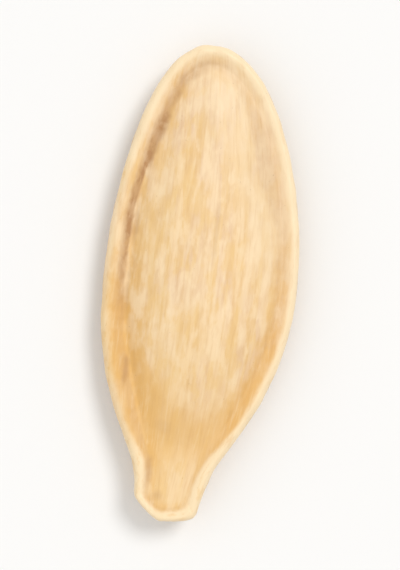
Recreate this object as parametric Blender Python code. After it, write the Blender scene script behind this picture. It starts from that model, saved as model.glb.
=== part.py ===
"""A pumpkin seed in its hull, lying on one face.

The seed grew as one piece: a flat hull that is round at one end and drawn out to a short,
blunt beak at the other. A raised rim runs all round it, with a shallow furrow inside the
rim and a low dome over the kernel on both faces. The long axis is Y, with the round end at
+Y and the beak at -Y. The seed rests on a small flat spot under its weight, and the origin
is the middle of its outline, on the surface that it lies on.
"""

import math

import bmesh
import bpy
import numpy as np

MM = 0.001

# Driving dimensions of the seed before it is bulged, bowed and twisted
LENGTH = 22.9 * MM
WIDTH = 9.4 * MM
THICKNESS = 3.4 * MM
RIM_THICKNESS = 0.92 * MM
RIM_WIDTH = 1.0 * MM
BEAK_WIDTH = 2.8 * MM
BEAK_RIM_WIDTH = 0.7 * MM

# The outline, seen from above
WIDEST_SHARE = 0.497         # the widest place, as a share of the length from the round end
SHOULDER_REACH = 0.765       # where the flank meets the beak, as a share of the pointed half
SHOULDER_FULLNESS = 2.2
SHOULDER_SOFTNESS = 0.4
TIP_START = 0.95             # where the end of the beak rounds off, as a share of the same
TIP_SQUARENESS = 2.8

# The section through the rim
CREST_SHARE = 0.36           # how far in the rim is highest, as a share of its width
RIM_NARROWS_FROM = 0.4       # where the rim grows narrower, as a share of the pointed half
RIM_NARROWS_TO = 0.75
FURROW_DEPTH = 0.13 * MM     # from that crest down to the bottom of the furrow
BEAK_FURROW_SHARE = 0.4      # the furrow is shallower at the end of the beak
BEAK_FURROW_FADE = 6         # how late on the way there it grows shallow

# The dome over the kernel, on each face
CROWN_FULLNESS = 0.8         # under 1 gives full sides and a flat crown
FOOT_SOFTNESS = 0.07
SPINE_ROUND_SHARE = 0.72     # how far the spine of the dome reaches towards the round end
ROUND_END_DROP = 0.75        # how much lower the dome is there
ROUND_END_FULLNESS = 2.2
DOME_REACH = 0.68            # where the dome runs out, as a share of the pointed half
DOME_REACH_FULLNESS = 2.2
DOME_REACH_SOFTNESS = 0.06
UNDERSIDE_SHARE = 0.94       # the lower dome is this much of the upper one

# How this one seed differs from an even one
DOME_SHIFT = 0.2 * MM        # the dome lies a little to the right
FLANK_BULGE = 0.52 * MM      # its middle bulges to the right of the line between its ends
TIP_NICK = 1.0 * MM          # the left corner of the beak is cut away
TIP_NICK_START = 0.1         # as a share of half the beak's width
TIP_NICK_FULLNESS = 1.3
TIP_NICK_LENGTH = 0.4        # as a share of half the seed's length
BOW = 0.32 * MM
TWIST = math.radians(3.0)
EDGE_WANDER = 0.006          # as a share of the distance from the middle
RIM_WAVE = 0.06 * MM
FACE_WAVE = 0.04 * MM

# Waves that go round the seed: how many, how strong, and where each starts
EDGE_WAVES = ((2, 1.0, 0.7), (3, 0.7, 2.1), (7, 0.5, 4.0))
RIM_WAVES = ((2, 1.0, 1.1), (5, 0.5, 0.4))

SEAT_DEPTH = 0.1 * MM        # how much of the belly is pressed flat

# The cells of one face: its rings of cells follow the outline, down to a spine
COLUMNS = 28
ROWS = 100
NOSE_RINGS = 4               # from the edge to the crest of the rim
RIM_RINGS = 7                # from the edge to the furrow
SPINE_RING = COLUMNS / 2
RING_CROWDING = 1.5          # draws the inner rings towards the furrow
OUTLINE_POINTS = 4000
BEND_CROWDING = 0.8 * MM     # adds points where the outline bends
NEARLY_NOTHING = 1e-6

HULL_COLOUR = (0.86, 0.63, 0.36, 1.0)
HULL_ROUGHNESS = 0.55

HALF_LENGTH = LENGTH / 2
HALF_WIDTH = WIDTH / 2
RIM_HALF = RIM_THICKNESS / 2
WIDEST_Y = HALF_LENGTH - WIDEST_SHARE * LENGTH
ROUND_REACH = HALF_LENGTH - WIDEST_Y
POINTED_REACH = HALF_LENGTH + WIDEST_Y
DOME_HEIGHT = THICKNESS / 2 - RIM_HALF + FURROW_DEPTH
BEAK_FLOOR = BEAK_WIDTH / 2 - BEAK_RIM_WIDTH


def clear_scene():
    """Removes what the startup scene holds."""
    for obj in list(bpy.data.objects):
        bpy.data.objects.remove(obj)


def soft_positive(value, softness):
    """The value where it is above 0 and 0 where it is below, softly bent between; 1 gives 1."""
    return (value + np.hypot(value, softness)) / (1.0 + math.hypot(1.0, softness))


def smooth_step(share):
    """A share from 0 to 1, eased at both ends."""
    return share * share * (3.0 - 2.0 * share)


def outline(along, rims):
    """Points of the right flank, so many rims' width in; along is 1 at the round end, -1 at the tip."""
    pointed = np.clip(-along, 0.0, 1.0)
    narrowed = np.clip((pointed - RIM_NARROWS_FROM) / (RIM_NARROWS_TO - RIM_NARROWS_FROM), 0.0, 1.0)
    inset = rims * (RIM_WIDTH + (BEAK_RIM_WIDTH - RIM_WIDTH) * smooth_step(narrowed))
    fall = 1.0 - (pointed / SHOULDER_REACH) ** SHOULDER_FULLNESS
    near_tip = np.clip((pointed - TIP_START) / (1.0 - TIP_START), 0.0, 1.0)
    tip = (1.0 - near_tip**TIP_SQUARENESS) ** (1.0 / TIP_SQUARENESS)
    shoulder = (HALF_WIDTH - BEAK_WIDTH / 2) * soft_positive(fall, SHOULDER_SOFTNESS)
    x_round = (HALF_WIDTH - inset) * np.sqrt(1.0 - along**2)
    x_pointed = (BEAK_WIDTH / 2 - inset + shoulder) * tip
    x = np.where(along > 0.0, x_round, x_pointed)
    reach = np.where(along > 0.0, ROUND_REACH, POINTED_REACH) - inset
    return x, WIDEST_Y + along * reach


def way_round(x, y):
    """How far round the flank each point is, from 0 to 1, with bends counted as longer."""
    step_x, step_y = np.diff(x), np.diff(y)
    turned = np.abs(np.diff(np.unwrap(np.arctan2(step_y, step_x)), prepend=0.0))
    turned[0] = 0.0
    walked = np.cumsum(np.hypot(step_x, step_y) + BEND_CROWDING * turned)
    return np.concatenate([[0.0], walked]) / walked[-1]


def flank(share):
    """For shares of the way round: the edge, the furrow and the spine's y, on the right side."""
    along = np.cos(np.linspace(0.0, math.pi, OUTLINE_POINTS))
    edge_x, edge_y = outline(along, 0.0)
    furrow_x, furrow_y = outline(along, 1.0)
    pointed_share = 1.0 - BEAK_FLOOR / (POINTED_REACH - BEAK_RIM_WIDTH)
    towards_round = smooth_step((along + 1.0) / 2)
    keep = pointed_share + (SPINE_ROUND_SHARE - pointed_share) * towards_round
    spine_y = WIDEST_Y + (furrow_y - WIDEST_Y) * keep
    at = way_round(edge_x, edge_y)
    return [np.interp(share, at, line) for line in (edge_x, edge_y, furrow_x, furrow_y, spine_y)]


def ring_and_share(column, row):
    """The ring of a point of the grid, 0 at the outline, and its share of the way round it."""
    off_middle = np.abs(column - SPINE_RING)
    ring = np.minimum(SPINE_RING - off_middle, np.minimum(row, ROWS - row))
    half_end = SPINE_RING - ring
    side = ROWS - 2 * ring
    at_tip = (row == ring) & (off_middle < half_end)
    passed = np.where(at_tip, 2 * half_end + side - off_middle, off_middle + ROWS - ring - row)
    return ring, passed / (2 * half_end + side)


def rim_section(ring):
    """For a ring: its share of the way over the rim, and the shares of the crest and furrow."""
    nose = np.clip(ring / NOSE_RINGS, 0.0, 1.0) * math.pi / 2
    fall = np.clip((ring - NOSE_RINGS) / (RIM_RINGS - NOSE_RINGS), 0.0, 1.0)
    across = CREST_SHARE * (1.0 - np.cos(nose)) + (1.0 - CREST_SHARE) * fall
    return across, np.sin(nose), smooth_step(fall)


def furrow_depth(y):
    """How far the furrow lies below the crest of the rim."""
    down = np.clip((WIDEST_Y - y) / POINTED_REACH, 0.0, 1.0)
    return FURROW_DEPTH * (1.0 - (1.0 - BEAK_FURROW_SHARE) * down**BEAK_FURROW_FADE)


def dome_share(inner, y):
    """The height of the dome as a share: inner is 0 in the furrow and 1 on the spine."""
    rise = inner * (2.0 - inner)
    crown = (np.hypot(rise, FOOT_SOFTNESS) - FOOT_SOFTNESS) ** CROWN_FULLNESS
    up = np.clip((y - WIDEST_Y) / ROUND_REACH, 0.0, 1.0)
    down = np.clip((WIDEST_Y - y) / POINTED_REACH, 0.0, 1.0)
    pointed = 1.0 - (down / DOME_REACH) ** DOME_REACH_FULLNESS
    ridge = soft_positive(pointed, DOME_REACH_SOFTNESS) - ROUND_END_DROP * up**ROUND_END_FULLNESS
    return crown * ridge


def face_wave(x, y, side):
    """The low swells of a face, which differ on the two sides."""
    along = y / HALF_LENGTH
    across = x / HALF_WIDTH
    swell = np.sin(5.1 * along + 1.9 * across + 1.3 * side)
    ridge = 0.8 * np.cos(4.4 * across + 0.4 + 0.5 * side) * np.cos(1.3 * along)
    return FACE_WAVE * (swell + ridge)


def turn_and_reach(x, y):
    """The turn of points about the middle, and how far out they lie, with the edge at about 1."""
    return np.arctan2(x / HALF_WIDTH, y / HALF_LENGTH), np.hypot(x / HALF_WIDTH, y / HALF_LENGTH)


def waves_round(turn, waves):
    """The sum of waves that go round the seed."""
    return sum(strength * np.sin(number * turn + start) for number, strength, start in waves)


def wandered(x, y):
    """Points in plan, with the outline wandering a little in and out as it goes round."""
    turn, reach = turn_and_reach(x, y)
    scale = 1.0 + EDGE_WANDER * waves_round(turn, EDGE_WAVES) * reach**2
    return x * scale, y * scale


def lopsided(x, y):
    """Points in plan, with one flank fuller and the left corner of the beak cut away."""
    bulge = FLANK_BULGE * (1.0 - (y / HALF_LENGTH) ** 2)
    near_end = np.clip(1.0 - (1.0 + y / HALF_LENGTH) / TIP_NICK_LENGTH, 0.0, 1.0)
    cornered = np.clip(-x / (BEAK_WIDTH / 2) - TIP_NICK_START, 0.0, 1.0)
    return x + bulge, y + TIP_NICK * cornered**TIP_NICK_FULLNESS * near_end**2


def bent(x, y, z):
    """Points of the seed, with its ends bowed upwards, its rim waved and its length twisted."""
    along = y / HALF_LENGTH
    turn, reach = turn_and_reach(x, y)
    z = z + BOW * along**2 + RIM_WAVE * waves_round(turn, RIM_WAVES) * reach**4
    angle = TWIST * along
    return x * np.cos(angle) + z * np.sin(angle), y, z * np.cos(angle) - x * np.sin(angle)


def seated(points):
    """The points, with the belly pressed flat, set down on z = 0 round the origin."""
    seat = points[:, 2].min() + SEAT_DEPTH
    points[:, 2] = np.maximum(points[:, 2], seat)
    middle = (points.min(axis=0) + points.max(axis=0)) / 2
    return points - np.array([middle[0], middle[1], seat])


def seed_points(column, row, right, side):
    """Where grid points come to lie; right is 1 or -1 across the seed, side 1 above or -1 below."""
    ring, share = ring_and_share(column, row)
    edge_x, edge_y, furrow_x, furrow_y, spine_y = flank(share)
    across, crest, furrow = rim_section(ring)
    inner = np.clip((ring - RIM_RINGS) / (SPINE_RING - RIM_RINGS), 0.0, 1.0) ** RING_CROWDING
    x = right * (edge_x + (furrow_x - edge_x) * across) * (1.0 - inner)
    y = edge_y + (furrow_y - edge_y) * across
    y = y + (spine_y - y) * inner
    x = x + DOME_SHIFT * across * (1.0 - (y / HALF_LENGTH) ** 2)
    height = RIM_HALF * crest - furrow_depth(y) * furrow
    dome = dome_share(inner, y)
    fullness = DOME_HEIGHT * np.where(side > 0.0, 1.0, UNDERSIDE_SHARE)
    z = side * (height + dome * (fullness + face_wave(x, y, side)))
    x, y = lopsided(*wandered(x, y))
    return seated(np.column_stack(bent(x, y, z)))


def hull_mesh():
    """Two grids, joined along their edge and moved onto the two faces of the seed."""
    bm = bmesh.new()
    bmesh.ops.create_grid(bm, x_segments=COLUMNS, y_segments=ROWS, size=1.0)
    for vert in bm.verts:
        inside = max(abs(vert.co.x), abs(vert.co.y)) < 1.0 - NEARLY_NOTHING
        vert.co.z = 1.0 if inside else 0.0
    whole = bm.verts[:] + bm.edges[:] + bm.faces[:]
    bmesh.ops.mirror(bm, geom=whole, axis="Z", merge_dist=NEARLY_NOTHING)
    grid = np.array([vert.co for vert in bm.verts])
    column = np.rint((grid[:, 0] + 1.0) / 2 * COLUMNS)
    row = np.rint((grid[:, 1] + 1.0) / 2 * ROWS)
    points = seed_points(column, row, np.sign(grid[:, 0]), np.where(grid[:, 2] < 0.0, -1.0, 1.0))
    for vert, point in zip(bm.verts, points):
        vert.co = point
    bmesh.ops.recalc_face_normals(bm, faces=bm.faces[:])
    bmesh.ops.triangulate(bm, faces=bm.faces[:], quad_method="SHORT_EDGE")
    mesh = bpy.data.meshes.new("pumpkin_seed")
    bm.to_mesh(mesh)
    bm.free()
    mesh.shade_smooth()
    return mesh


def hull_material():
    """The dry hull: pale straw, with a dull sheen."""
    material = bpy.data.materials.new("hull")
    material.use_nodes = True
    shader = material.node_tree.nodes["Principled BSDF"]
    shader.inputs["Base Color"].default_value = HULL_COLOUR
    shader.inputs["Roughness"].default_value = HULL_ROUGHNESS
    shader.inputs["Metallic"].default_value = 0.0
    return material


def main():
    clear_scene()
    collection = bpy.data.collections.new("pumpkin_seed_parts")
    bpy.context.scene.collection.children.link(collection)
    mesh = hull_mesh()
    mesh.materials.append(hull_material())
    collection.objects.link(bpy.data.objects.new("pumpkin_seed", mesh))


main()
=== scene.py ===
"""The looks of one pumpkin seed in its hull, lying on one face and seen from straight above.

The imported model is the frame. The hull is built again here on the same form, with cells a
quarter of the size, and gets what the solid leaves out: fibres and shallow wrinkles along its
faces, lumps along its rim, the line where its halves meet and the scar at the end of its beak.
"""

import logging
import math
from collections.abc import Callable
from dataclasses import dataclass, field
from enum import Enum

import bmesh
import bpy
import numpy as np
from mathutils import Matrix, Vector


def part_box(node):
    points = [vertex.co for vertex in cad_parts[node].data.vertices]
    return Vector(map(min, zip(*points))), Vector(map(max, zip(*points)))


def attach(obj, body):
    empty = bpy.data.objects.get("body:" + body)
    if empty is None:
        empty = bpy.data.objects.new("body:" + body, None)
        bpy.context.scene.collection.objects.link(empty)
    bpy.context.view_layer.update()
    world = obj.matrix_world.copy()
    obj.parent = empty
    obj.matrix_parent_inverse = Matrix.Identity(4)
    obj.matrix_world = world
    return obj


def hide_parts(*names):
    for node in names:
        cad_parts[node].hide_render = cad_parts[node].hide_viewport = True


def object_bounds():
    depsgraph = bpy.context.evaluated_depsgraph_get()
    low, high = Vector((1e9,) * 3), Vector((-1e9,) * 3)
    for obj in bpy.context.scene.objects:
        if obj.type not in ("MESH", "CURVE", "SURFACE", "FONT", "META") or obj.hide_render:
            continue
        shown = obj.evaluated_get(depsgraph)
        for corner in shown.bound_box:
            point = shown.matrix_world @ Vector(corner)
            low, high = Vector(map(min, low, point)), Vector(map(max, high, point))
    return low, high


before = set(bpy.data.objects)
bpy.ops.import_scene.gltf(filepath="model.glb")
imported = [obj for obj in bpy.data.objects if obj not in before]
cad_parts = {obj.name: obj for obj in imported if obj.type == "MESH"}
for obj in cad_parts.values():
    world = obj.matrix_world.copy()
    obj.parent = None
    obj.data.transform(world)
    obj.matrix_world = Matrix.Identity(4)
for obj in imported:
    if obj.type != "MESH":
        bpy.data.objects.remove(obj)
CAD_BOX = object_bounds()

MM = 0.001
NEARLY_NOTHING = 1e-6
LOG = logging.getLogger("pumpkin_seed")

Array = np.ndarray
Colour = tuple[float, float, float, float]
Triple = tuple[float, float, float]
Wave = tuple[int, float, float]
Span = tuple[float, float]


def eased(share: Array) -> Array:
    """A share from 0 to 1, eased at both ends."""
    return share * share * (3.0 - 2.0 * share)


def share_between(value: Array, low: float, high: float) -> Array:
    """How far a value is from low to high, from 0 to 1 and no further."""
    return np.clip((value - low) / (high - low), 0.0, 1.0)


def soft_positive(value: Array, softness: float) -> Array:
    """The value where it is above 0 and 0 where it is below, softly bent between; 1 gives 1."""
    return (value + np.hypot(value, softness)) / (1.0 + math.hypot(1.0, softness))


def bell(value: Array, width: float) -> Array:
    """A hump that is 1 at 0 and has mostly died away at one width."""
    return np.exp(-((value / width) ** 2))


def paint(red: int, green: int, blue: int) -> Colour:
    """A colour from its screen values, 0 to 255.

    Args:
        red: The red value.
        green: The green value.
        blue: The blue value.

    Returns:
        The same colour as the linear values that a shader takes.
    """
    shares = [value / 255 for value in (red, green, blue)]
    linear = [share / 12.92 if share <= 0.04045 else ((share + 0.055) / 1.055) ** 2.4 for share in shares]
    return (*linear, 1.0)


class Hills:
    """Smooth random hills and hollows over a plane, between -1 and 1, the same on each run."""

    SPAN = 64

    def __init__(self, draw: int) -> None:
        """Draws the heights of the corners; they repeat after SPAN cells each way."""
        self.corners = np.random.default_rng(draw).uniform(-1.0, 1.0, (self.SPAN, self.SPAN))

    def at(self, across: Array, along: Array) -> Array:
        """The heights at places.

        Args:
            across: How many cells along the first side.
            along: How many cells along the second side.

        Returns:
            The height at each place.
        """
        column, row = np.floor(across).astype(int), np.floor(along).astype(int)
        right, up = eased(across - column), eased(along - row)
        here, beside, above, opposite = (
            self.corners[(column + step) % self.SPAN, (row + rise) % self.SPAN]
            for rise in (0, 1) for step in (0, 1))
        near = here * (1.0 - right) + beside * right
        far = above * (1.0 - right) + opposite * right
        return near * (1.0 - up) + far * up


@dataclass(frozen=True)
class Outline:
    """The even outline of the seed from above, and the furrow and the spine that follow it."""

    length: float = 22.9 * MM
    width: float = 9.4 * MM
    rim_width: float = 1.0 * MM
    beak_width: float = 2.8 * MM
    beak_rim_width: float = 0.7 * MM
    widest_share: float = 0.497
    shoulder_reach: float = 0.765
    shoulder_fullness: float = 2.2
    shoulder_softness: float = 0.4
    tip_start: float = 0.95
    tip_squareness: float = 2.8
    rim_narrows_from: float = 0.4
    rim_narrows_to: float = 0.75
    spine_round_share: float = 0.72
    bend_crowding: float = 0.8 * MM
    edge_per_length: float = 2.4
    samples: int = 4000

    @property
    def half_length(self) -> float:
        """Half the length."""
        return self.length / 2

    @property
    def half_width(self) -> float:
        """Half the width."""
        return self.width / 2

    @property
    def widest_y(self) -> float:
        """Where the seed is widest."""
        return self.half_length - self.widest_share * self.length

    @property
    def round_reach(self) -> float:
        """From the widest place to the round end."""
        return self.half_length - self.widest_y

    @property
    def pointed_reach(self) -> float:
        """From the widest place to the end of the beak."""
        return self.half_length + self.widest_y

    @property
    def ring_radius(self) -> float:
        """The radius of a circle that is about as long as the edge."""
        return self.length / math.tau * self.edge_per_length

    def curve(self, along: Array, rims: float) -> tuple[Array, Array]:
        """Points of the right flank.

        Args:
            along: 1 at the round end, -1 at the end of the beak.
            rims: How many rims' width inside the edge the curve runs.

        Returns:
            The x and the y of the points.
        """
        pointed = np.clip(-along, 0.0, 1.0)
        narrowed = eased(share_between(pointed, self.rim_narrows_from, self.rim_narrows_to))
        inset = rims * (self.rim_width + (self.beak_rim_width - self.rim_width) * narrowed)
        fall = 1.0 - (pointed / self.shoulder_reach) ** self.shoulder_fullness
        shoulder = (self.half_width - self.beak_width / 2) * soft_positive(fall, self.shoulder_softness)
        near_tip = share_between(pointed, self.tip_start, 1.0)
        tip = (1.0 - near_tip**self.tip_squareness) ** (1.0 / self.tip_squareness)
        rounded = (self.half_width - inset) * np.sqrt(1.0 - along**2)
        reach = np.where(along > 0.0, self.round_reach, self.pointed_reach) - inset
        beak = (self.beak_width / 2 - inset + shoulder) * tip
        return np.where(along > 0.0, rounded, beak), self.widest_y + along * reach

    def way_round(self, x: Array, y: Array) -> Array:
        """How far round the flank each point is, with bends counted as longer.

        Args:
            x: The x of the flank's points, in order.
            y: The y of the same points.

        Returns:
            The share of the whole way at each point, from 0 to 1.
        """
        step_x, step_y = np.diff(x), np.diff(y)
        turned = np.abs(np.diff(np.unwrap(np.arctan2(step_y, step_x)), prepend=0.0))
        turned[0] = 0.0
        walked = np.cumsum(np.hypot(step_x, step_y) + self.bend_crowding * turned)
        return np.concatenate([[0.0], walked]) / walked[-1]

    def lines(self, share: Array) -> list[Array]:
        """The lines that one face hangs on.

        Args:
            share: How far round the flank, from 0 at the round end to 1 at the beak's end.

        Returns:
            The edge's x and y, the furrow's x and y, and the spine's y, on the right side.
        """
        along = np.cos(np.linspace(0.0, math.pi, self.samples))
        edge_x, edge_y = self.curve(along, 0.0)
        furrow_x, furrow_y = self.curve(along, 1.0)
        floor = self.beak_width / 2 - self.beak_rim_width
        pointed_share = 1.0 - floor / (self.pointed_reach - self.beak_rim_width)
        keep = pointed_share + (self.spine_round_share - pointed_share) * eased((along + 1.0) / 2)
        spine_y = self.widest_y + (furrow_y - self.widest_y) * keep
        at = self.way_round(edge_x, edge_y)
        return [np.interp(share, at, line) for line in (edge_x, edge_y, furrow_x, furrow_y, spine_y)]


@dataclass(frozen=True)
class Rim:
    """The raised rim and the furrow inside it."""

    thickness: float = 0.92 * MM
    crest_share: float = 0.36
    furrow_depth: float = 0.13 * MM
    beak_furrow_share: float = 0.4
    beak_furrow_fade: float = 6.0

    def height(self, nose: Array, fall: Array, down: Array) -> Array:
        """How high the rim is over the middle plane, up its nose and down into the furrow."""
        depth = self.furrow_depth * (1.0 - (1.0 - self.beak_furrow_share) * down**self.beak_furrow_fade)
        return self.thickness / 2 * np.sin(nose * math.pi / 2) - depth * eased(fall)


@dataclass(frozen=True)
class Dome:
    """The low dome over the kernel, on each face.

    The swell fields say how fast the low swells turn along, across and between the two faces.
    """

    seed_thickness: float = 3.4 * MM
    crown_fullness: float = 0.8
    foot_softness: float = 0.1
    round_end_drop: float = 0.75
    round_end_fullness: float = 2.2
    reach: float = 0.68
    reach_fullness: float = 2.2
    reach_softness: float = 0.06
    underside_share: float = 0.94
    shift: float = 0.2 * MM
    swell: float = 0.04 * MM
    slow_swell: Triple = (5.1, 1.9, 1.3)
    cross_swell: Triple = (1.3, 4.4, 0.5)
    cross_swell_start: float = 0.4
    cross_swell_share: float = 0.8

    def share(self, inner: Array, up: Array, down: Array) -> Array:
        """The height of the dome as a share of its full height.

        Args:
            inner: 0 in the furrow and 1 on the spine.
            up: The share of the way from the widest place to the round end.
            down: The share of the way from there to the end of the beak.

        Returns:
            The share at each place.
        """
        rise = inner * (2.0 - inner)
        crown = (np.hypot(rise, self.foot_softness) - self.foot_softness) ** self.crown_fullness
        ridge = soft_positive(1.0 - (down / self.reach) ** self.reach_fullness, self.reach_softness)
        return crown * (ridge - self.round_end_drop * up**self.round_end_fullness)

    def swells(self, along: Array, across: Array, side: Array) -> Array:
        """The low swells of a face, which differ on the two sides.

        Args:
            along: 1 at the round end, -1 at the end of the beak.
            across: 1 at the right flank, -1 at the left one.
            side: 1 on the upper face and -1 on the lower one.

        Returns:
            How far each point is raised.
        """
        slow_along, slow_across, slow_side = self.slow_swell
        cross_along, cross_across, cross_side = self.cross_swell
        slow = np.sin(slow_along * along + slow_across * across + slow_side * side)
        turned = cross_across * across + self.cross_swell_start + cross_side * side
        cross = self.cross_swell_share * np.cos(turned) * np.cos(cross_along * along)
        return self.swell * (slow + cross)


@dataclass(frozen=True)
class Growth:
    """How this one seed differs from an even one."""

    half_length: float
    half_width: float
    half_beak: float
    flank_bulge: float = 0.52 * MM
    tip_nick: float = 1.0 * MM
    tip_nick_start: float = 0.1
    tip_nick_fullness: float = 1.3
    tip_nick_length: float = 0.4
    bow: float = 0.32 * MM
    twist: float = math.radians(3.0)
    edge_wander: float = 0.006
    rim_wave: float = 0.06 * MM
    edge_waves: tuple[Wave, ...] = ((2, 1.0, 0.7), (3, 0.7, 2.1), (7, 0.5, 4.0))
    rim_waves: tuple[Wave, ...] = ((2, 1.0, 1.1), (5, 0.5, 0.4))

    def turn_and_reach(self, x: Array, y: Array) -> tuple[Array, Array]:
        """The turn of points about the middle, and how far out they lie, with the edge at about 1."""
        across, along = x / self.half_width, y / self.half_length
        return np.arctan2(across, along), np.hypot(across, along)

    @staticmethod
    def waves_round(turn: Array, waves: tuple[Wave, ...]) -> Array:
        """The sum of waves that go round the seed: how many, how strong, where each starts."""
        return sum(strength * np.sin(number * turn + start) for number, strength, start in waves)

    def in_plan(self, x: Array, y: Array) -> tuple[Array, Array]:
        """Points in plan, with the edge wandering, one flank fuller and a corner of the beak cut.

        Args:
            x: The x of points of the even seed.
            y: The y of the same points.

        Returns:
            The x and the y that they come to have.
        """
        turn, reach = self.turn_and_reach(x, y)
        scale = 1.0 + self.edge_wander * self.waves_round(turn, self.edge_waves) * reach**2
        x, y = x * scale, y * scale
        bulge = self.flank_bulge * (1.0 - (y / self.half_length) ** 2)
        near_end = np.clip(1.0 - (1.0 + y / self.half_length) / self.tip_nick_length, 0.0, 1.0)
        cornered = np.clip(-x / self.half_beak - self.tip_nick_start, 0.0, 1.0)
        return x + bulge, y + self.tip_nick * cornered**self.tip_nick_fullness * near_end**2

    def bent(self, x: Array, y: Array, z: Array) -> Array:
        """The points with the ends bowed upwards, the rim waved and the length twisted.

        Args:
            x: The x of the points.
            y: The y of the points.
            z: The z of the points.

        Returns:
            The bent points, one to a row.
        """
        along = y / self.half_length
        turn, reach = self.turn_and_reach(x, y)
        z = z + self.bow * along**2 + self.rim_wave * self.waves_round(turn, self.rim_waves) * reach**4
        cosine, sine = np.cos(self.twist * along), np.sin(self.twist * along)
        return np.column_stack([x * cosine + z * sine, y, z * cosine - x * sine])


@dataclass(frozen=True)
class Places:
    """Where the points of the hull lie on the seed.

    Attributes:
        x: Across the even seed, before it leans and bends.
        y: Along the even seed.
        side: 1 on the upper face and -1 on the lower one.
        across: 0 on the edge, 1 in the furrow, 2 on the spine.
        nose: The turn from the edge to the crest of the rim, from 0 to 1.
        turn: The turn round the seed, 0 at the round end and pi at the end of the beak.
    """

    x: Array
    y: Array
    side: Array
    across: Array
    nose: Array
    turn: Array


@dataclass(frozen=True)
class Ripple:
    """Fine hills of one kind: the number they are drawn from, their height, width and length."""

    draw: int
    height: float
    width: float
    length: float

    def at(self, across: Array, along: Array, apart: Array) -> Array:
        """Their shares of the height at places, drawn apart on the two faces."""
        return Hills(self.draw).at(across / self.width + apart, along / self.length)


@dataclass(frozen=True)
class Relief:
    """What is too fine for the solid: fibres, wrinkles, lumps, the seam and the beak's scar.

    The spans are counted from 0 on the edge to 1 in the furrow and 2 on the spine. The unit is
    the height that the finish reads as 1.
    """

    narrowing: float = 0.6
    face_apart: float = 17.0
    fibres: Ripple = Ripple(11, 0.007 * MM, 0.2 * MM, 2.6 * MM)
    wrinkles: Ripple = Ripple(23, 0.034 * MM, 0.8 * MM, 4.5 * MM)
    dents: Ripple = Ripple(37, 0.02 * MM, 1.3 * MM, 1.3 * MM)
    rim_fibre_share: float = 0.5
    dome_span: Span = (1.0, 1.25)
    rim_span: Span = (0.6, 1.1)
    lump_draw: int = 41
    lump_height: float = 0.028 * MM
    lumps_a_rim: float = 0.7
    crinkle_draw: int = 53
    crinkle_height: float = 0.012 * MM
    crinkle_width: float = 0.35
    crinkles_a_lump: float = 3.0
    rim_crinkle_share: float = 0.4
    furrow_width: float = 0.22
    seam_depth: float = 0.018 * MM
    seam_width: float = 0.1
    scar_depth: float = 0.07 * MM
    scar_length: float = 0.05
    scar_width: float = 0.6
    unit: float = 0.18 * MM

    def flow(self, places: Places, outline: Outline) -> Array:
        """How far across points lie on lines that draw together towards both ends, as fibres do."""
        fullness = np.sqrt(np.clip(1.0 - (places.y / outline.half_length) ** 2, 0.0, 1.0))
        return places.x / (1.0 - self.narrowing * (1.0 - fullness))

    def height(self, places: Places, outline: Outline) -> Array:
        """How far each point stands out from the smooth form.

        Args:
            places: Where the points lie.
            outline: The outline of the seed.

        Returns:
            The height along the surface's normal, in metres.
        """
        flow = self.flow(places, outline)
        apart = self.face_apart * places.side
        fibres = self.fibres.height * self.fibres.at(flow, places.y, apart)
        wrinkles = self.wrinkles.height * self.wrinkles.at(flow, places.y, apart)
        dents = self.dents.height * self.dents.at(places.x, places.y, apart)
        on_dome = eased(share_between(places.across, *self.dome_span))
        face = (fibres + wrinkles + dents) * on_dome
        return face + self.rim_fibre_share * fibres + self.rim_height(places, apart) - self.cuts(places)

    def rim_height(self, places: Places, apart: Array) -> Array:
        """The height of the lumps along the rim and of the crinkles on it and in the furrow.

        Args:
            places: Where the points lie.
            apart: What sets the two faces apart.

        Returns:
            The height along the surface's normal, in metres.
        """
        cells_round = places.turn / math.tau * Hills.SPAN
        on_rim = 1.0 - eased(share_between(places.across, *self.rim_span))
        in_furrow = bell(places.across - 1.0, self.furrow_width)
        lumps = Hills(self.lump_draw).at(cells_round, self.lumps_a_rim * places.across + apart)
        crinkles = Hills(self.crinkle_draw).at(
            self.crinkles_a_lump * cells_round, places.across / self.crinkle_width + apart)
        crinkled = self.rim_crinkle_share * on_rim + in_furrow
        return self.lump_height * lumps * on_rim + self.crinkle_height * crinkles * crinkled

    def cuts(self, places: Places) -> Array:
        """The depth of the seam round the edge and of the scar at the end of the beak.

        Args:
            places: Where the points lie.

        Returns:
            The depth along the surface's normal, in metres.
        """
        on_edge = np.where(places.across < 1.0, 1.0, 0.0)
        seam = self.seam_depth * bell(places.nose, self.seam_width)
        from_end = 1.0 - np.abs(places.turn) / math.pi
        scar = self.scar_depth * bell(from_end, self.scar_length) * bell(places.nose, self.scar_width)
        return (seam + scar) * on_edge


def worked(operation: str, reflected: bool = False) -> Callable[["Wire", "Wire | float"], "Wire"]:
    """An operator of wires that adds a Math node.

    Args:
        operation: What the node does.
        reflected: True where the wire is the second value.

    Returns:
        The operator's method.
    """

    def method(wire: "Wire", other: "Wire | float") -> "Wire":
        """Adds the node over the wire and the other value."""
        pair = (other, wire) if reflected else (wire, other)
        return wire.board.node("ShaderNodeMath", {"operation": operation}, dict(enumerate(pair)))

    return method


class Wire:
    """The output of a shader node, as a value that Python's operators work on."""

    def __init__(self, board: "Board", socket: bpy.types.NodeSocket) -> None:
        """Takes the board that the node is on and its output."""
        self.board = board
        self.socket = socket

    __add__ = worked("ADD")
    __radd__ = worked("ADD", reflected=True)
    __sub__ = worked("SUBTRACT")
    __rsub__ = worked("SUBTRACT", reflected=True)
    __mul__ = worked("MULTIPLY")
    __rmul__ = worked("MULTIPLY", reflected=True)
    at_least = worked("MAXIMUM")


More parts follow.
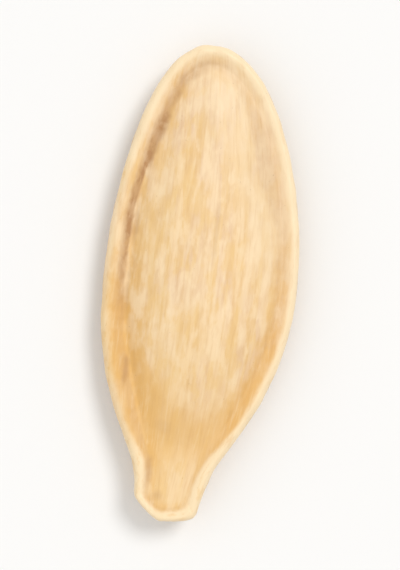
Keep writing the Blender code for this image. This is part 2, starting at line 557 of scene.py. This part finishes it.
class Board:
    """The shader nodes of one material."""

    MIX_SHARE, MIX_FIRST, MIX_SECOND, MIX_COLOUR = 0, 6, 7, 2

    def __init__(self, name: str) -> None:
        """Makes the material, with its shader.

        Args:
            name: The material's name.
        """
        self.material = bpy.data.materials.new(name)
        self.material.use_nodes = True
        self.tree = self.material.node_tree
        self.shader = self.tree.nodes["Principled BSDF"]

    def node(self, kind: str, settings: dict[str, object] | None = None,
             inputs: dict[int | str, object] | None = None, output: int | str = 0) -> Wire:
        """Adds a node.

        Args:
            kind: The node's type.
            settings: What is set on the node itself, before its sockets.
            inputs: A value or a wire for each socket, by its name or number.
            output: The output that is wanted, by its name or number.

        Returns:
            That output.
        """
        node = self.tree.nodes.new(kind)
        for name, setting in (settings or {}).items():
            setattr(node, name, setting)
        for key, value in (inputs or {}).items():
            self.plug(node.inputs[key], value)
        return Wire(self, node.outputs[output])

    def plug(self, socket: bpy.types.NodeSocket, value: object) -> None:
        """Links a wire to a socket, or sets a plain value on it.

        Args:
            socket: The input.
            value: The wire or the value.
        """
        if isinstance(value, Wire):
            self.tree.links.new(value.socket, socket)
        else:
            socket.default_value = value

    def dress(self, values: dict[str, object]) -> None:
        """Plugs wires and values into the shader, by its sockets' names."""
        for name, value in values.items():
            self.plug(self.shader.inputs[name], value)

    def kept(self, name: str, output: str) -> Wire:
        """What the mesh keeps at its points under a name."""
        settings = {"attribute_type": "GEOMETRY", "attribute_name": name}
        return self.node("ShaderNodeAttribute", settings, output=output)

    def part_of(self, vector: Wire, axis: str) -> Wire:
        """One of the three numbers of a vector."""
        return self.node("ShaderNodeSeparateXYZ", None, {0: vector}, output=axis)

    def vector(self, operation: str, first: Wire, second: Triple) -> Wire:
        """A Vector Math node over a vector and three plain numbers."""
        return self.node("ShaderNodeVectorMath", {"operation": operation}, {0: first, 1: second})

    def noise(self, place: Wire, stretch: Triple, detail: float, roughness: float) -> Wire:
        """Cloudy noise.

        Args:
            place: Where the noise is read.
            stretch: How many clouds there are to a unit of place, each way.
            detail: How many times finer clouds are added.
            roughness: How strong the finer ones are.

        Returns:
            A value about 0.5.
        """
        stretched = self.vector("MULTIPLY", place, stretch)
        inputs = {"Vector": stretched, "Scale": 1.0, "Detail": detail, "Roughness": roughness}
        return self.node("ShaderNodeTexNoise", {"noise_dimensions": "3D"}, inputs)

    def between(self, value: Wire, low: Wire | float, high: Wire | float) -> Wire:
        """How far a value is from low to high, from 0 to 1, eased at both ends."""
        inputs = {"Value": value, "From Min": low, "From Max": high}
        return self.node("ShaderNodeMapRange", {"interpolation_type": "SMOOTHSTEP"}, inputs)

    def mixed(self, share: Wire, first: Wire | Colour, second: Wire | Colour) -> Wire:
        """Two colours, mixed by a share of the second."""
        inputs = {self.MIX_SHARE: share, self.MIX_FIRST: first, self.MIX_SECOND: second}
        return self.node("ShaderNodeMix", {"data_type": "RGBA"}, inputs, output=self.MIX_COLOUR)


class Tone(Enum):
    """The colours of the dry hull, also used for its painted shade and highlight."""

    STRAW = paint(241, 207, 157)
    ASHEN = paint(236, 202, 162)
    CREAM = paint(250, 222, 180)
    PALE = paint(252, 229, 189)
    MILKY = paint(243, 217, 178)
    HONEY = paint(238, 198, 134)
    AMBER = paint(231, 182, 108)
    TAN = paint(208, 160, 104)
    RUSSET = paint(184, 137, 88)
    BARK = paint(138, 100, 60)


class Follows(Enum):
    """What a grain of the hull follows: lines of its faces, its rim all round, or plain space."""

    FACE = "flow"
    RIM = "rim_flow"
    SPACE = "place"


class Grain(Enum):
    """The grains of the hull: what each follows, clouds a millimetre each way, detail, roughness."""

    BANDS = (Follows.FACE, (0.75, 0.12, 1.0), 2.0, 0.5)
    STREAKS = (Follows.FACE, (2.0, 0.3, 1.0), 3.0, 0.5)
    FIBRES = (Follows.FACE, (7.0, 0.6, 1.0), 4.0, 0.6)
    HAIRS = (Follows.FACE, (20.0, 1.6, 1.0), 2.0, 0.5)
    FLECKS = (Follows.FACE, (2.6, 0.8, 1.0), 2.0, 0.5)
    RIM = (Follows.RIM, (1.3, 1.3, 4.0), 4.0, 0.6)
    CLOUDS = (Follows.SPACE, (0.3, 0.2, 0.3), 2.0, 0.5)
    MOTTLE = (Follows.SPACE, (1.5, 0.75, 1.5), 3.0, 0.55)
    SPECKS = (Follows.SPACE, (9.0, 6.0, 9.0), 2.0, 0.6)
    WANDER = (Follows.SPACE, (1.1, 1.1, 1.1), 2.0, 0.5)


@dataclass(frozen=True)
class Coat:
    """A colour that covers more, up to its strength, the further a value is from low to high."""

    tone: Tone
    low: float
    high: float
    strength: float = 1.0

    def over(self, board: Board, colour: Wire | Colour, value: Wire) -> Wire:
        """The colour with this coat over it."""
        share = board.between(value, self.low, self.high) * self.strength
        return board.mixed(share, colour, self.tone.value)


@dataclass(frozen=True)
class PaintedRims:
    """How the paint counts rims inwards, and where it lies beside the form; places in millimetres."""

    wander: float = 0.16
    left: Span = (0.5, -2.5)
    left_below: Span = (6.5, 3.5)
    left_shift: float = 0.18
    upper_right: Span = (0.0, 2.0)
    upper_right_above: Span = (2.5, 5.5)
    upper_right_shift: float = 0.2
    dome_stretch: float = 2.7


class SeedMap:
    """Where each point of the hull is and what its grains say there, as wires, in millimetres.

    Attributes:
        flow: The place, on lines that draw together at both ends.
        place: The place in space, with its x to the right and its y to the round end.
        relief: How far the point stands out, in units of the relief.
        edge: 0 on the edge, 1 in the furrow and 2 on the spine, as the form has them.
        across: The same, as the paint has them.
        inwards: The same up to the furrow, and counted on in rims' widths past it.
        at_left: How far the point is into the stretch on the left where the paint is moved.
        grains: The value of each grain.
    """

    def __init__(self, board: Board, rims: PaintedRims) -> None:
        """Reads what the mesh keeps and works out the rest.

        Args:
            board: The board of the hull's material.
            rims: How the paint counts rims.
        """
        self.board = board
        self.flow = board.kept("flow", "Vector")
        in_metres = board.node("ShaderNodeTexCoord", output="Object")
        self.place = board.vector("MULTIPLY", in_metres, (1.0 / MM,) * 3)
        followed = {Follows.FACE: self.flow, Follows.SPACE: self.place,
                    Follows.RIM: board.kept("rim_flow", "Vector")}
        self.grains: dict[Grain, Wire] = {}
        for grain in Grain:
            follows, stretch, detail, roughness = grain.value
            self.grains[grain] = board.noise(followed[follows], stretch, detail, roughness)
        self.x, self.y = board.part_of(self.place, "X"), board.part_of(self.place, "Y")
        self.relief = board.kept("relief", "Fac")
        self.edge = board.kept("across", "Fac")
        self.at_left = board.between(self.x, *rims.left) * board.between(self.y, *rims.left_below)
        upper = board.between(self.y, *rims.upper_right_above)
        at_upper_right = board.between(self.x, *rims.upper_right) * upper
        moved = rims.left_shift * self.at_left - rims.upper_right_shift * at_upper_right
        self.across = self.edge + rims.wander * self.sway(Grain.WANDER) + moved
        self.inwards = self.across + rims.dome_stretch * (self.across - 1.0).at_least(0.0)

    def sway(self, grain: Grain) -> Wire:
        """How far a grain is from its middle value."""
        return self.grains[grain] - 0.5


@dataclass(frozen=True)
class CrestPaleAndHighlight:
    """The pale crest of the rim, partly painted highlight, worn off in patches and on the left."""

    beak: Span = (-6.2, -8.8)
    inner_side: Span = (0.3, 0.62)
    beak_widening: float = 0.35
    strength: float = 0.8
    grain: Span = (0.5, 0.68)
    patchy_wear: float = 0.45
    left_wear: float = 0.48

    def on_rim(self, seed: SeedMap) -> Wire:
        """1 on the crest and outside it, 0 from the furrow inwards."""
        widened = seed.inwards - self.beak_widening * seed.board.between(seed.y, *self.beak)
        return 1.0 - seed.board.between(widened, *self.inner_side)

    def paleness_and_highlight(self, seed: SeedMap) -> Wire:
        """How pale the crest is, as its own cream and as painted highlight.

        Args:
            seed: The map of the hull.

        Returns:
            The share of the pale colour on the crest.
        """
        above_beak = 1.0 - seed.board.between(seed.y, *self.beak)
        patches = self.patchy_wear * seed.board.between(seed.grains[Grain.RIM], *self.grain)
        return self.strength - (patches + self.left_wear * seed.at_left * above_beak)


@dataclass(frozen=True)
class Warmth:
    """The amber beside the furrow, more of it lower down and on the left, and where the dome ends."""

    cloud_drift: float = 3.0
    mottle_drift: float = 1.5
    down: Span = (4.5, -3.5)
    left: Span = (0.6, -0.6)
    beak: Span = (-7.2, -9.4)
    inside_crest: Span = (0.3, 0.75)
    inner_side: Span = (1.0, 1.25)
    left_widening: float = 0.14
    low_left_widening: float = 0.3
    strength: float = 0.06
    low_strength: float = 0.42
    left_strength: float = 0.12
    low_left_strength: float = 0.2
    beak_fading: float = 0.5
    patches: Span = (0.6, 0.4)
    least_patch: float = 0.5
    dome_end: Span = (-5.0, -6.9)
    dome_end_middle: float = 0.4
    dome_end_rounding: float = 0.3
    dome_end_drift: float = 0.5
    dome_end_strength: float = 0.62

    def share(self, seed: SeedMap) -> Wire:
        """How amber the hull is.

        Args:
            seed: The map of the hull.

        Returns:
            The share of amber.
        """
        board = seed.board
        drift = self.cloud_drift * seed.sway(Grain.CLOUDS) + self.mottle_drift * seed.sway(Grain.MOTTLE)
        in_beak = board.between(seed.y, *self.beak)
        inside = board.between(seed.across, *self.inside_crest)
        patchy = self.least_patch + board.between(seed.grains[Grain.MOTTLE], *self.patches)
        furrow = inside * self._beside_furrow(seed, drift) * (1.0 - self.beak_fading * in_beak) * patchy
        off_middle = seed.x - self.dome_end_middle
        rounded = seed.y + self.dome_end_drift * drift - self.dome_end_rounding * off_middle * off_middle
        end = inside * board.between(rounded, *self.dome_end) * (1.0 - in_beak)
        return furrow + end * (self.dome_end_strength - self.dome_end_strength * furrow)

    def _beside_furrow(self, seed: SeedMap, drift: Wire) -> Wire:
        """How amber the band beside the furrow is, before its patches.

        Args:
            seed: The map of the hull.
            drift: How far down the seed the band's strength is moved.

        Returns:
            The share of amber.
        """
        board = seed.board
        down = board.between(seed.y + drift, *self.down)
        left = board.between(seed.x, *self.left)
        start, end = self.inner_side
        widened = (self.left_widening + self.low_left_widening * down) * left
        band = 1.0 - board.between(seed.across, start + self.left_widening * left, end + widened)
        at_left = left * (self.left_strength + self.low_left_strength * down)
        return band * (self.strength + self.low_strength * down + at_left)


@dataclass(frozen=True)
class FurrowLineAndShade:
    """The furrow's dark line, partly painted shade, broken up along its way and strongest at the upper
    left.
    """

    left: Span = (1.0, -2.5)
    up: Span = (-3.0, 3.0)
    round_end: Span = (6.8, 9.6)
    round_end_fading: float = 0.6
    outer_side: Span = (0.6, 0.92)
    inner_side: Span = (1.06, 1.5)
    strength: float = 0.08
    left_strength: float = 0.12
    upper_strength: float = 0.14
    upper_left_strength: float = 0.6
    grain: Span = (0.4, 0.64)
    least_grain: float = 0.75
    grain_strength: float = 0.4

    def share(self, seed: SeedMap) -> Wire:
        """How dark the furrow is, as its own line and as painted shade in the crease.

        Args:
            seed: The map of the hull.

        Returns:
            The share of the dark colour.
        """
        board = seed.board
        left = board.between(seed.x, *self.left)
        at_end = board.between(seed.y, *self.round_end)
        up = board.between(seed.y, *self.up) * (1.0 - self.round_end_fading * at_end)
        line = board.between(seed.inwards, *self.outer_side)
        line = line * (1.0 - board.between(seed.inwards, *self.inner_side))
        upper = (self.upper_strength + self.upper_left_strength * left) * up
        grain = board.between(seed.grains[Grain.RIM], *self.grain)
        grainy = self.least_grain + self.grain_strength * grain
        return line * (self.strength + self.left_strength * left + upper) * grainy


@dataclass(frozen=True)
class SeamLine:
    """The thin line where the halves of the hull meet, round the edge."""

    width: float = 0.006
    strength: float = 0.08
    grain: Span = (0.44, 0.62)
    grain_strength: float = 0.4

    def share(self, seed: SeedMap) -> Wire:
        """How dark the line is."""
        grainy = self.grain_strength * seed.board.between(seed.grains[Grain.RIM], *self.grain)
        return (1.0 - seed.board.between(seed.edge, 0.0, self.width)) * (self.strength + grainy)


class Mark(Enum):
    """The darker marks of this seed: place across and along, width and length in mm, strength."""

    UPPER_FURROW = (-3.38, 3.0, 0.18, 1.5, 0.4)
    MIDDLE_FURROW = (-3.5, -0.8, 0.18, 1.2, 0.3)
    LOWER_FURROW = (-3.12, -4.6, 0.18, 0.9, 0.5)
    DOME_FOOT = (-1.0, -6.9, 0.5, 0.35, 0.12)
    BEAK_FLOOR = (-1.0, -10.2, 0.34, 0.3, 0.28)
    BEAK_SIDE = (-1.5, -9.2, 0.2, 0.8, 0.34)
    CROWN = (0.5, 2.6, 0.14, 1.8, 0.22)


@dataclass(frozen=True)
class Marks:
    """The marks on the upper face, with ragged edges."""

    raggedness: float = 2.0
    edge: Span = (0.2, 1.4)
    upper_face: Span = (0.0, 0.5)

    def share(self, seed: SeedMap) -> Wire:
        """How dark the marks are.

        Args:
            seed: The map of the hull.

        Returns:
            The share of the dark colour.
        """
        board = seed.board
        ragged = self.raggedness * seed.sway(Grain.WANDER)
        dark: Wire | float = 0.0
        for mark in Mark:
            x, y, width, length, strength = mark.value
            apart = board.vector("SUBTRACT", seed.place, (x, y, 0.0))
            scaled = board.vector("MULTIPLY", apart, (1.0 / width, 1.0 / length, 0.0))
            far = board.node("ShaderNodeVectorMath", {"operation": "LENGTH"}, {0: scaled}, output="Value")
            dark = dark + (1.0 - board.between(far + ragged, *self.edge)) * strength
        return dark * board.between(board.part_of(seed.flow, "Z"), *self.upper_face)


@dataclass(frozen=True)
class HullFinish:
    """The dry hull: straw with pale and amber bands, a cream rim, a warm furrow, and painted shade and
    highlight.
    """

    mottling: tuple[tuple[Grain, Coat], ...] = (
        (Grain.CLOUDS, Coat(Tone.ASHEN, 0.4, 0.6)),
        (Grain.BANDS, Coat(Tone.CREAM, 0.5, 0.6, 0.6)),
        (Grain.BANDS, Coat(Tone.HONEY, 0.5, 0.38, 0.65)),
        (Grain.STREAKS, Coat(Tone.CREAM, 0.5, 0.62, 0.5)),
        (Grain.STREAKS, Coat(Tone.HONEY, 0.48, 0.36, 0.6)),
        (Grain.MOTTLE, Coat(Tone.CREAM, 0.5, 0.66, 0.6)),
        (Grain.MOTTLE, Coat(Tone.HONEY, 0.5, 0.34, 0.62)),
        (Grain.FLECKS, Coat(Tone.TAN, 0.5, 0.66, 0.14)),
        (Grain.FLECKS, Coat(Tone.PALE, 0.48, 0.34, 0.22)),
    )
    lower_dome: Coat = Coat(Tone.HONEY, -1.5, -6.5, 0.38)
    upper_right: Coat = Coat(Tone.MILKY, 2.4, 4.6, 0.5)
    upper_right_slant: float = 0.5
    dark_fibres: Coat = Coat(Tone.TAN, 0.5, 0.68, 0.2)
    pale_fibres: Coat = Coat(Tone.PALE, 0.48, 0.3, 0.22)
    # Painted shade: tan darkens the hollows of the relief, where shade would fall.
    hollows: Coat = Coat(Tone.TAN, -0.2, -1.0, 0.4)
    specks: Coat = Coat(Tone.BARK, 0.7, 0.8, 0.3)
    rims: PaintedRims = PaintedRims()
    # The crest's pale paint is partly painted highlight.
    crest: CrestPaleAndHighlight = CrestPaleAndHighlight()
    warmth: Warmth = Warmth()
    # The furrow line is partly painted shade in the crease.
    furrow: FurrowLineAndShade = FurrowLineAndShade()
    marks: Marks = Marks()
    seam: SeamLine = SeamLine()
    roughness: float = 0.5
    fibre_roughness: float = 0.16
    mottle_roughness: float = 0.1
    crest_smoothness: float = 0.06
    specular: float = 0.4
    bump_height: float = 0.02 * MM
    bump_strength: float = 0.6
    fibre_bump: float = 0.6
    hair_bump: float = 0.35
    speck_bump: float = 0.25
    rim_bump: float = 0.3

    def made(self) -> bpy.types.Material:
        """Builds the finish.

        Returns:
            The material.
        """
        board = Board("seed_hull")
        seed = SeedMap(board, self.rims)
        crest = self.crest.on_rim(seed)
        colour = self._face_colour(seed)
        # The crest's own cream, brightened as painted highlight.
        colour = board.mixed(crest * self.crest.paleness_and_highlight(seed), colour, Tone.PALE.value)
        # The furrow's dark line, partly painted shade in the crease.
        colour = board.mixed(self.furrow.share(seed), colour, Tone.RUSSET.value)
        # Painted shade in the hollows of the relief.
        colour = self.hollows.over(board, colour, seed.relief)
        colour = self.specks.over(board, colour, seed.grains[Grain.SPECKS])
        colour = board.mixed(self.marks.share(seed), colour, Tone.RUSSET.value)
        colour = board.mixed(self.seam.share(seed), colour, Tone.RUSSET.value)
        board.dress({"Base Color": colour, "Roughness": self._roughness(seed, crest),
                     "Normal": self._bump(seed, crest), "Specular IOR Level": self.specular})
        return board.material

    def _face_colour(self, seed: SeedMap) -> Wire:
        """The colour of the faces, before the rim and the marks.

        Args:
            seed: The map of the hull.

        Returns:
            The colour.
        """
        board, fibres = seed.board, seed.grains[Grain.FIBRES]
        colour: Wire | Colour = Tone.STRAW.value
        for grain, coat in self.mottling:
            colour = coat.over(board, colour, seed.grains[grain])
        colour = self.lower_dome.over(board, colour, seed.y)
        colour = self.upper_right.over(board, colour, seed.x + self.upper_right_slant * seed.y)
        colour = board.mixed(self.warmth.share(seed), colour, Tone.AMBER.value)
        colour = self.dark_fibres.over(board, colour, fibres)
        return self.pale_fibres.over(board, colour, fibres)

    def _roughness(self, seed: SeedMap, crest: Wire) -> Wire:
        """The roughness, which varies with the grain and is less on the crest.

        Args:
            seed: The map of the hull.
            crest: 1 on the crest.

        Returns:
            The value for the shader.
        """
        grainy = self.fibre_roughness * seed.sway(Grain.FIBRES)
        mottled = self.mottle_roughness * seed.sway(Grain.MOTTLE)
        return self.roughness + grainy + mottled - self.crest_smoothness * crest

    def _bump(self, seed: SeedMap, crest: Wire) -> Wire:
        """The bumps of fibres, hairs and specks, and of the rim's own grain.

        Args:
            seed: The map of the hull.
            crest: 1 on the crest.

        Returns:
            The normal for the shader.
        """
        height = seed.grains[Grain.FIBRES] * self.fibre_bump + seed.grains[Grain.HAIRS] * self.hair_bump
        height = height + seed.grains[Grain.SPECKS] * self.speck_bump
        height = height + seed.grains[Grain.RIM] * crest * self.rim_bump
        inputs = {"Strength": self.bump_strength, "Distance": self.bump_height, "Height": height}
        return seed.board.node("ShaderNodeBump", None, inputs, output="Normal")


def shown(name: str, data: bpy.types.ID) -> bpy.types.Object:
    """Puts a mesh, a lamp or a camera in the scene.

    Args:
        name: The name of its object.
        data: What is put there.

    Returns:
        The object.
    """
    placed = bpy.data.objects.new(name, data)
    bpy.context.scene.collection.objects.link(placed)
    return placed


@dataclass
class SeedHull:
    """The whole hull of the seed, both faces and the rim."""

    columns: int = 112
    rows: int = 440
    nose_rings: int = 16
    rim_rings: int = 28
    ring_crowding: float = 1.5
    seat_depth: float = 0.1 * MM
    name: str = "seed_hull"
    outline: Outline = field(default_factory=Outline)
    rim: Rim = field(default_factory=Rim)
    dome: Dome = field(default_factory=Dome)
    relief: Relief = field(default_factory=Relief)
    finish: HullFinish = field(default_factory=HullFinish)
    growth: Growth = field(init=False)
    spine_ring: float = field(init=False)

    def __post_init__(self) -> None:
        """Works out the growth from the outline, and the ring on the spine."""
        shape = self.outline
        self.growth = Growth(shape.half_length, shape.half_width, shape.beak_width / 2)
        self.spine_ring = self.columns / 2

    def build(self) -> bpy.types.Object:
        """Makes the hull, with its mesh and its finish.

        Returns:
            The hull's object.
        """
        bm = self._two_faces()
        grid = np.array([vert.co for vert in bm.verts])
        points, places = self._form(grid)
        self._move(bm, points)
        bmesh.ops.recalc_face_normals(bm, faces=bm.faces[:])
        bm.normal_update()
        normals = np.array([vert.normal for vert in bm.verts])
        height = self.relief.height(places, self.outline)
        self._move(bm, self._seated(points, points + normals * height[:, None]))
        bmesh.ops.triangulate(bm, faces=bm.faces[:], quad_method="SHORT_EDGE")
        mesh = bpy.data.meshes.new(self.name)
        bm.to_mesh(mesh)
        bm.free()
        mesh.shade_smooth()
        self._keep(mesh, places, height)
        mesh.materials.append(self.finish.made())
        return shown(self.name, mesh)

    def _two_faces(self) -> bmesh.types.BMesh:
        """Makes a grid of cells for each face.

        Returns:
            The two grids, joined along their edge.
        """
        bm = bmesh.new()
        bmesh.ops.create_grid(bm, x_segments=self.columns, y_segments=self.rows, size=1.0)
        for vert in bm.verts:
            inside = max(abs(vert.co.x), abs(vert.co.y)) < 1.0 - NEARLY_NOTHING
            vert.co.z = 1.0 if inside else 0.0
        whole = bm.verts[:] + bm.edges[:] + bm.faces[:]
        bmesh.ops.mirror(bm, geom=whole, axis="Z", merge_dist=NEARLY_NOTHING)
        return bm

    def _ring_and_share(self, column: Array, row: Array) -> tuple[Array, Array]:
        """Which ring of cells each point is on, and where on it.

        Args:
            column: The column of each point in its grid.
            row: The row of each point.

        Returns:
            The ring, 0 at the outline, and the share of the way round it on one flank.
        """
        off_middle = np.abs(column - self.spine_ring)
        ring = np.minimum(self.spine_ring - off_middle, np.minimum(row, self.rows - row))
        half_end = self.spine_ring - ring
        side = self.rows - 2 * ring
        at_tip = (row == ring) & (off_middle < half_end)
        passed = np.where(at_tip, 2 * half_end + side - off_middle, off_middle + self.rows - ring - row)
        return ring, passed / (2 * half_end + side)

    def _form(self, grid: Array) -> tuple[Array, Places]:
        """The smooth form of the seed.

        Args:
            grid: The points of the two square grids.

        Returns:
            Where the points come to lie in space, and their places on the seed.
        """
        shape = self.outline
        column = np.rint((grid[:, 0] + 1.0) / 2 * self.columns)
        row = np.rint((grid[:, 1] + 1.0) / 2 * self.rows)
        right = np.sign(grid[:, 0])
        side = np.where(grid[:, 2] < 0.0, -1.0, 1.0)
        ring, share = self._ring_and_share(column, row)
        edge_x, edge_y, furrow_x, furrow_y, spine_y = shape.lines(share)
        nose = np.clip(ring / self.nose_rings, 0.0, 1.0)
        fall = share_between(ring, self.nose_rings, self.rim_rings)
        crest = self.rim.crest_share
        over = crest * (1.0 - np.cos(nose * math.pi / 2)) + (1.0 - crest) * fall
        inner = share_between(ring, self.rim_rings, self.spine_ring) ** self.ring_crowding
        x = right * (edge_x + (furrow_x - edge_x) * over) * (1.0 - inner)
        y = edge_y + (furrow_y - edge_y) * over
        y = y + (spine_y - y) * inner
        x = x + self.dome.shift * over * (1.0 - (y / shape.half_length) ** 2)
        up = np.clip((y - shape.widest_y) / shape.round_reach, 0.0, 1.0)
        down = np.clip((shape.widest_y - y) / shape.pointed_reach, 0.0, 1.0)
        full = self.dome.seed_thickness / 2 - self.rim.thickness / 2 + self.rim.furrow_depth
        fullness = full * np.where(side > 0.0, 1.0, self.dome.underside_share)
        swells = self.dome.swells(y / shape.half_length, x / shape.half_width, side)
        height = self.rim.height(nose, fall, down)
        height = height + self.dome.share(inner, up, down) * (fullness + swells)
        turn = math.pi * share * np.where(right < 0.0, -1.0, 1.0)
        places = Places(x, y, side, over + inner, nose, turn)
        grown_x, grown_y = self.growth.in_plan(x, y)
        return self.growth.bent(grown_x, grown_y, side * height), places

    def _seated(self, smooth: Array, points: Array) -> Array:
        """The points with the belly pressed flat, set down as the solid is, and kept in its box.

        Args:
            smooth: The points of the smooth form, which say where the seat is.
            points: The points with their relief.

        Returns:
            Where the points come to lie.
        """
        seat = smooth[:, 2].min() + self.seat_depth
        points[:, 2] = np.maximum(points[:, 2], seat)
        middle = (smooth.min(axis=0) + smooth.max(axis=0)) / 2
        points = points - np.array([middle[0], middle[1], seat])
        low, high = (np.array(corner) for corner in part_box("pumpkin_seed"))
        reach = np.maximum(points.max(axis=0), -points.min(axis=0))
        room = np.minimum(high, np.where(np.arange(3) < 2, -low, high))
        return points * np.minimum(1.0, room / reach)

    @staticmethod
    def _move(bm: bmesh.types.BMesh, points: Array) -> None:
        """Puts the vertices where the points are."""
        for vert, point in zip(bm.verts, points):
            vert.co = point

    def _keep(self, mesh: bpy.types.Mesh, places: Places, height: Array) -> None:
        """Keeps on the mesh what its material follows, with lengths in millimetres.

        Args:
            mesh: The hull's mesh.
            places: Where its points lie.
            height: How far each point stands out from the smooth form.
        """
        radius = self.outline.ring_radius
        flow = [self.relief.flow(places, self.outline), places.y, places.side * MM]
        rim_flow = [radius * np.cos(places.turn), radius * np.sin(places.turn),
                    self.outline.rim_width * places.across + places.side * MM]
        for name, columns in {"flow": flow, "rim_flow": rim_flow}.items():
            values = (np.column_stack(columns) / MM).ravel()
            mesh.attributes.new(name, "FLOAT_VECTOR", "POINT").data.foreach_set("vector", values)
        for name, values in {"across": places.across, "relief": height / self.relief.unit}.items():
            mesh.attributes.new(name, "FLOAT", "POINT").data.foreach_set("value", values)


class Lamp(Enum):
    """The lamps: name, turn round the seed and height in degrees, strength, softness in degrees."""

    KEY = ("key", 48.0, 55.0, 1.3, 22.0)
    FILL = ("fill", 200.0, 60.0, 0.6, 90.0)


@dataclass(frozen=True)
class Studio:
    """The pale floor, the soft light and the camera straight above."""

    floor_size: float = 6.0
    floor_colour: Colour = paint(246, 245, 243)
    floor_roughness: float = 0.9
    floor_specular: float = 0.2
    sky_colour: Colour = paint(255, 255, 255)
    sky_strength: float = 0.56
    lens: float = 120.0
    shown_height: float = 27.4 * MM
    camera_turn: float = math.radians(6.28)
    nearest_share: float = 0.1
    farthest: float = 10.0

    def lay_floor(self) -> None:
        """Lays the floor that the seed rests on."""
        bm = bmesh.new()
        bmesh.ops.create_grid(bm, x_segments=1, y_segments=1, size=self.floor_size / 2)
        mesh = bpy.data.meshes.new("floor")
        bm.to_mesh(mesh)
        bm.free()
        board = Board("pale_floor")
        board.dress({"Base Color": self.floor_colour, "Roughness": self.floor_roughness,
                     "Specular IOR Level": self.floor_specular})
        mesh.materials.append(board.material)
        floor = shown("floor", mesh)

    def light(self) -> None:
        """Hangs the lamps and lights the room."""
        for lamp in Lamp:
            self._hang(lamp)
        world = bpy.data.worlds.new("room")
        world.use_nodes = True
        background = world.node_tree.nodes["Background"]
        background.inputs["Color"].default_value = self.sky_colour
        background.inputs["Strength"].default_value = self.sky_strength
        bpy.context.scene.world = world
        bpy.context.scene.view_settings.view_transform = "Standard"

    @staticmethod
    def _hang(lamp: Lamp) -> None:
        """Hangs a lamp.

        Args:
            lamp: Which one.
        """
        name, turn, height, strength, softness = lamp.value
        sun = bpy.data.lights.new(name, "SUN")
        sun.energy = strength
        sun.angle = math.radians(softness)
        turned, raised = math.radians(turn), math.radians(height)
        flat = math.cos(raised)
        towards = Vector((math.cos(turned) * flat, math.sin(turned) * flat, math.sin(raised)))
        shown(name, sun).rotation_euler = towards.to_track_quat("Z", "Y").to_euler()

    def set_camera(self) -> None:
        """Puts the camera straight above the seed, turned as the photograph is."""
        middle = (CAD_BOX[0] + CAD_BOX[1]) / 2
        camera = bpy.data.cameras.new("camera")
        camera.lens = self.lens
        distance = self.shown_height * camera.lens / camera.sensor_width
        camera.clip_start = distance * self.nearest_share
        camera.clip_end = self.farthest
        held = shown("camera", camera)
        held.location = (middle.x, middle.y, middle.z + distance)
        held.rotation_euler = (0.0, 0.0, self.camera_turn)
        bpy.context.scene.camera = held


def main() -> None:
    """Builds the studio and the seed in order."""
    logging.basicConfig(level=logging.INFO, format="%(message)s")
    studio = Studio()
    studio.set_camera()
    studio.lay_floor()
    studio.light()
    hull = SeedHull().build()
    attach(hull, "root")
    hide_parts("pumpkin_seed")
    LOG.info("%s: %d triangles", hull.name, len(hull.data.polygons))


if __name__ == "__main__":
    main()
